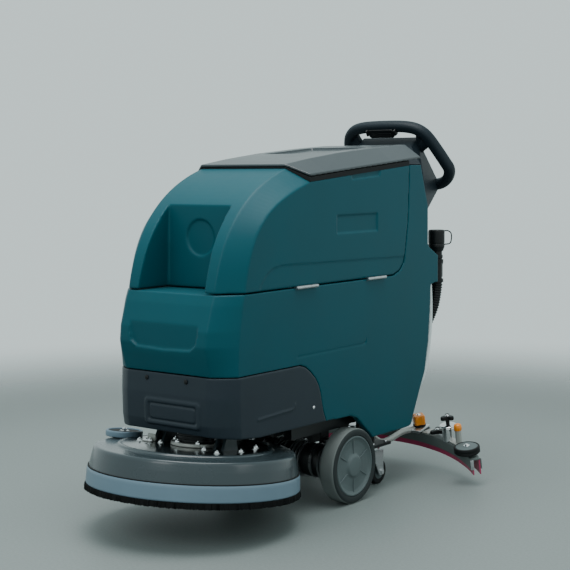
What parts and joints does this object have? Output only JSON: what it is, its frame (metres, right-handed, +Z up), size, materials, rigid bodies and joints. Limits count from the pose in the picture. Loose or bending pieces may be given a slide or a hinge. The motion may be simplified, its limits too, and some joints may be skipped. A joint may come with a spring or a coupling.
{
  "type": "wet dry floor scrubber",
  "caption": "Walk-behind wet dry floor scrubber with a round brush deck, stacked water tanks, a loop handle and a curved rear squeegee.",
  "frame": {"origin": "middle of the machine's footprint, on the floor", "axes": "+Z up, -Y the machine's front, +X its left side"},
  "size_m": [0.792, 1.3126, 1.0653],
  "materials": {
    "teal": "satin",
    "cover_grey": "satin",
    "dark_grey": "satin",
    "lid_grey": "satin",
    "black_plastic": "satin",
    "rubber": "matte",
    "tyre": "matte",
    "hub": "satin",
    "skirt": "satin",
    "deck": "gloss",
    "bristle": "matte",
    "steel": "satin",
    "chrome": "polished",
    "frame_paint": "satin",
    "cast_metal": "satin",
    "alloy": "satin",
    "red_blade": "satin",
    "orange": "gloss",
    "red": "gloss",
    "battery_case": "matte",
    "alloy_bar": "satin"
  },
  "bodies": {
    "chassis": {"chassis_frame": "frame_paint", "solution_tank": "teal", "front_cover": "cover_grey", "cover_screw_left": "chrome", "cover_screw_right": "chrome", "battery_left": "battery_case", "battery_right": "battery_case", "vacuum_motor": "alloy", "transaxle": "cast_metal", "console": "dark_grey", "control_panel": "black_plastic", "handle": "dark_grey", "hinge_leaf_front": "steel", "hinge_leaf_rear": "steel", "drain_hose": "rubber", "suction_hose": "rubber"},
    "tank": {"recovery_tank": "teal", "tank_leaf_front": "steel", "tank_leaf_rear": "steel", "lid_gasket": "rubber", "float_cage": "black_plastic"},
    "lid": {"lid": "lid_grey"},
    "deck_arm": {"deck_lift_arm": "frame_paint"},
    "deck": {"deck_housing": "deck", "splash_skirt": "skirt", "bristle_strip": "bristle", "brush_motor": "alloy"},
    "brush": {"scrub_brush": "bristle"},
    "deck_roller": {"deck_roller": "cover_grey"},
    "squeegee_arm": {"squeegee_lift_arm": "steel"},
    "squeegee": {"squeegee_yoke": "steel", "squeegee_bar": "alloy_bar", "front_blade": "red_blade", "rear_blade": "red_blade", "suction_port": "black_plastic"},
    "key_switch": {"key_switch": "chrome"},
    "emergency_stop": {"emergency_stop": "red"},
    "start_button": {"start_button": "hub"},
    "water_button": {"water_button": "hub"},
    "speed_knob": {"speed_knob": "dark_grey"},
    "throttle_paddle": {"throttle_paddle": "black_plastic"},
    "squeegee_lever": {"squeegee_lever": "frame_paint"},
    "deck_pedal": {"deck_pedal": "frame_paint"},
    "drain_cap": {"drain_cap": "black_plastic"},
    "wheel_left": {"tyre_left": "tyre", "hub_left": "hub"},
    "caster_left": {"caster_fork_left": "steel"},
    "caster_wheel_left": {"caster_wheel_left": "rubber"},
    "wheel_right": {"tyre_right": "tyre", "hub_right": "hub"},
    "caster_right": {"caster_fork_right": "steel"},
    "caster_wheel_right": {"caster_wheel_right": "rubber"},
    "bumper_roller_left": {"bumper_roller_left": "rubber"},
    "mount_knob_left": {"mount_knob_left": "orange"},
    "clamp_knob_left": {"clamp_knob_left": "black_plastic"},
    "height_knob_left": {"height_knob_left": "black_plastic"},
    "bumper_roller_right": {"bumper_roller_right": "rubber"},
    "mount_knob_right": {"mount_knob_right": "orange"},
    "clamp_knob_right": {"clamp_knob_right": "black_plastic"},
    "height_knob_right": {"height_knob_right": "black_plastic"}
  },
  "joints": [
    {"name": "tank_tilt", "type": "hinge", "parent": "chassis", "child": "tank", "pos_m": [0.2035, 0, 0.6176], "axis": [0, 1, 0], "range_deg": [0, 85]},
    {"name": "lid_open", "type": "hinge", "parent": "tank", "child": "lid", "pos_m": [-0.1995, -0.0406, 0.90855], "axis": [0, -0.9965, -0.0838], "range_deg": [0, 95]},
    {"name": "deck_lift", "type": "hinge", "parent": "chassis", "child": "deck_arm", "pos_m": [0, -0.0706, 0.222], "axis": [1, 0, 0], "range_deg": [0, 18]},
    {"name": "deck_level", "type": "hinge", "parent": "deck_arm", "child": "deck", "pos_m": [0, -0.3623, 0.2409], "axis": [1, 0, 0], "range_deg": [-12.28, 0]},
    {"name": "brush_spin", "type": "hinge", "parent": "deck", "child": "brush", "pos_m": [0, -0.37228, 0.1414], "axis": [0, 0.0998, 0.995], "continuous": true},
    {"name": "deck_roller_spin", "type": "hinge", "parent": "deck", "child": "deck_roller", "pos_m": [-0.237, -0.38619, 0.2232], "axis": [0, 0.0998, 0.995], "continuous": true},
    {"name": "wheel_left_spin", "type": "hinge", "parent": "chassis", "child": "wheel_left", "pos_m": [0.2107, 0.0594, 0.1043], "axis": [1, 0, 0], "continuous": true},
    {"name": "caster_left_swivel", "type": "hinge", "parent": "chassis", "child": "caster_left", "pos_m": [0.125, 0.2594, 0.119], "axis": [0, 0, 1], "continuous": true},
    {"name": "caster_left_roll", "type": "hinge", "parent": "caster_left", "child": "caster_wheel_left", "pos_m": [0.125, 0.2864, 0.0375], "axis": [1, 0, 0], "continuous": true},
    {"name": "wheel_right_spin", "type": "hinge", "parent": "chassis", "child": "wheel_right", "pos_m": [-0.2107, 0.0594, 0.1043], "axis": [1, 0, 0], "continuous": true},
    {"name": "caster_right_swivel", "type": "hinge", "parent": "chassis", "child": "caster_right", "pos_m": [-0.125, 0.2594, 0.119], "axis": [0, 0, 1], "continuous": true},
    {"name": "caster_right_roll", "type": "hinge", "parent": "caster_right", "child": "caster_wheel_right", "pos_m": [-0.125, 0.2864, 0.0375], "axis": [1, 0, 0], "continuous": true},
    {"name": "squeegee_lift", "type": "hinge", "parent": "chassis", "child": "squeegee_arm", "pos_m": [0, 0.2484, 0.113], "axis": [1, 0, 0], "range_deg": [-11.4, 0]},
    {"name": "squeegee_swing", "type": "hinge", "parent": "squeegee_arm", "child": "squeegee", "pos_m": [0, 0.35132, 0.13885], "axis": [0, -0.1977, 0.9803], "range_deg": [-15, 15]},
    {"name": "bumper_roller_left_turn", "type": "hinge", "parent": "squeegee", "child": "bumper_roller_left", "pos_m": [0.345, 0.43465, 0.10363], "axis": [0, -0.1977, 0.9803], "continuous": true},
    {"name": "mount_knob_left_turn", "type": "hinge", "parent": "squeegee", "child": "mount_knob_left", "pos_m": [0.105, 0.5539, 0.14604], "axis": [0, -0.1977, 0.9803], "continuous": true},
    {"name": "clamp_knob_left_turn", "type": "hinge", "parent": "squeegee", "child": "clamp_knob_left", "pos_m": [0.182, 0.53842, 0.11741], "axis": [0, -0.1977, 0.9803], "continuous": true},
    {"name": "height_knob_left_turn", "type": "hinge", "parent": "squeegee", "child": "height_knob_left", "pos_m": [0.236, 0.50483, 0.17185], "axis": [0, -0.1977, 0.9803], "continuous": true},
    {"name": "bumper_roller_right_turn", "type": "hinge", "parent": "squeegee", "child": "bumper_roller_right", "pos_m": [-0.345, 0.43465, 0.10363], "axis": [0, -0.1977, 0.9803], "continuous": true},
    {"name": "mount_knob_right_turn", "type": "hinge", "parent": "squeegee", "child": "mount_knob_right", "pos_m": [-0.105, 0.5539, 0.14604], "axis": [0, -0.1977, 0.9803], "continuous": true},
    {"name": "clamp_knob_right_turn", "type": "hinge", "parent": "squeegee", "child": "clamp_knob_right", "pos_m": [-0.182, 0.53842, 0.11741], "axis": [0, -0.1977, 0.9803], "continuous": true},
    {"name": "height_knob_right_turn", "type": "hinge", "parent": "squeegee", "child": "height_knob_right", "pos_m": [-0.236, 0.50483, 0.17185], "axis": [0, -0.1977, 0.9803], "continuous": true},
    {"name": "key_turn", "type": "hinge", "parent": "chassis", "child": "key_switch", "pos_m": [-0.058, 0.63154, 0.90881], "axis": [0, 0.8387, 0.5446], "range_deg": [-60, 0]},
    {"name": "emergency_stop_press", "type": "slide", "parent": "chassis", "child": "emergency_stop", "axis": [0, -0.8387, -0.5446], "range_m": [0, 0.0035], "stiffness_N_per_m": 400, "springref_m": -0.001},
    {"name": "start_button_press", "type": "slide", "parent": "chassis", "child": "start_button", "axis": [0, -0.8387, -0.5446], "range_m": [0, 0.0022], "stiffness_N_per_m": 250, "springref_m": -0.001},
    {"name": "water_button_press", "type": "slide", "parent": "chassis", "child": "water_button", "axis": [0, -0.8387, -0.5446], "range_m": [0, 0.0022], "stiffness_N_per_m": 250, "springref_m": -0.001},
    {"name": "speed_turn", "type": "hinge", "parent": "chassis", "child": "speed_knob", "pos_m": [0, 0.62882, 0.913], "axis": [0, 0.8387, 0.5446], "range_deg": [-270, 0]},
    {"name": "throttle_squeeze", "type": "hinge", "parent": "chassis", "child": "throttle_paddle", "pos_m": [0, 0.51927, 1.00641], "axis": [1, 0, 0], "range_deg": [-6, 0], "stiffness_Nm_per_rad": 2, "springref_deg": 1.15},
    {"name": "squeegee_lever_turn", "type": "hinge", "parent": "chassis", "child": "squeegee_lever", "pos_m": [-0.11, 0.4844, 0.712], "axis": [1, 0, 0], "range_deg": [-40, 0]},
    {"name": "deck_pedal_turn", "type": "hinge", "parent": "chassis", "child": "deck_pedal", "pos_m": [-0.085, 0.3314, 0.14], "axis": [1, 0, 0], "range_deg": [0, 22]},
    {"name": "drain_cap_pull", "type": "slide", "parent": "chassis", "child": "drain_cap", "axis": [0, 0, 1], "range_m": [0, 0.03]}
  ],
  "couplings": [
    {"joint": "deck_level", "follows": "deck_lift", "ratio": -0.6817},
    {"joint": "deck_pedal_turn", "follows": "deck_lift", "ratio": 1.2},
    {"joint": "squeegee_lever_turn", "follows": "squeegee_lift", "ratio": 3.5}
  ]
}
